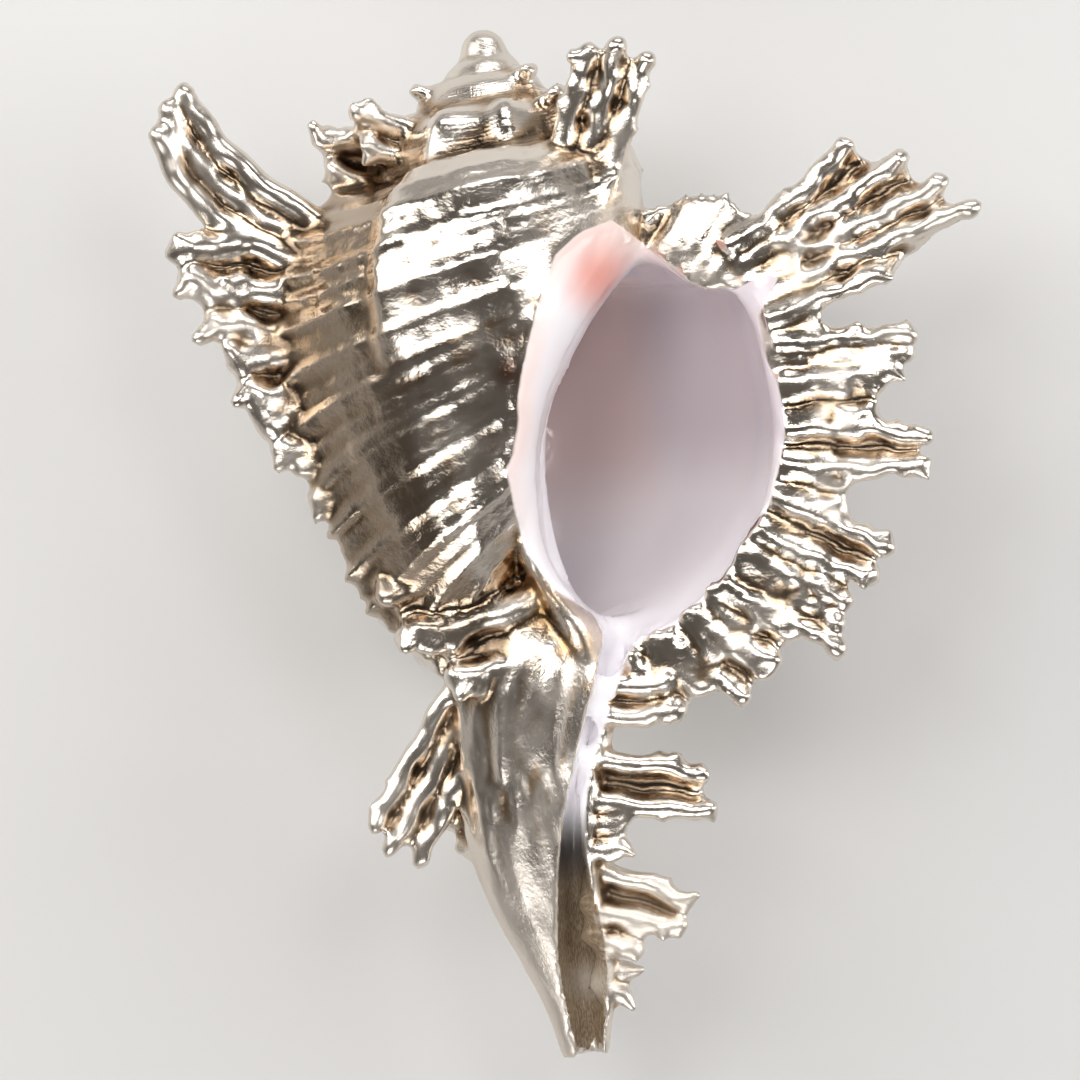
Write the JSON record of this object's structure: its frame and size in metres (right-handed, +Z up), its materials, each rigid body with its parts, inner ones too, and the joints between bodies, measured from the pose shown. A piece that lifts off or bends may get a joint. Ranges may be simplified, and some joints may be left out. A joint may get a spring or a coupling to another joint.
{
  "type": "murex shell",
  "caption": "Ramose murex shell lying mouth up: a coiled, pointed spiral shell with three rows of branched fronds, a wide oval mouth and a long open canal.",
  "frame": {"origin": "under the middle of the shell's outline, on the surface it lies on", "axes": "+Y along the shell towards the spire, +X towards the outer lip, +Z up out of the mouth"},
  "size_m": [0.1572, 0.2048, 0.101],
  "materials": {
    "silvered_shell": "bright electroplated silver outside with warm tarnish in the recesses, bare glossy porcelain inside the mouth"
  },
  "bodies": {
    "root": {"shell": "silvered_shell"}
  },
  "joints": []
}
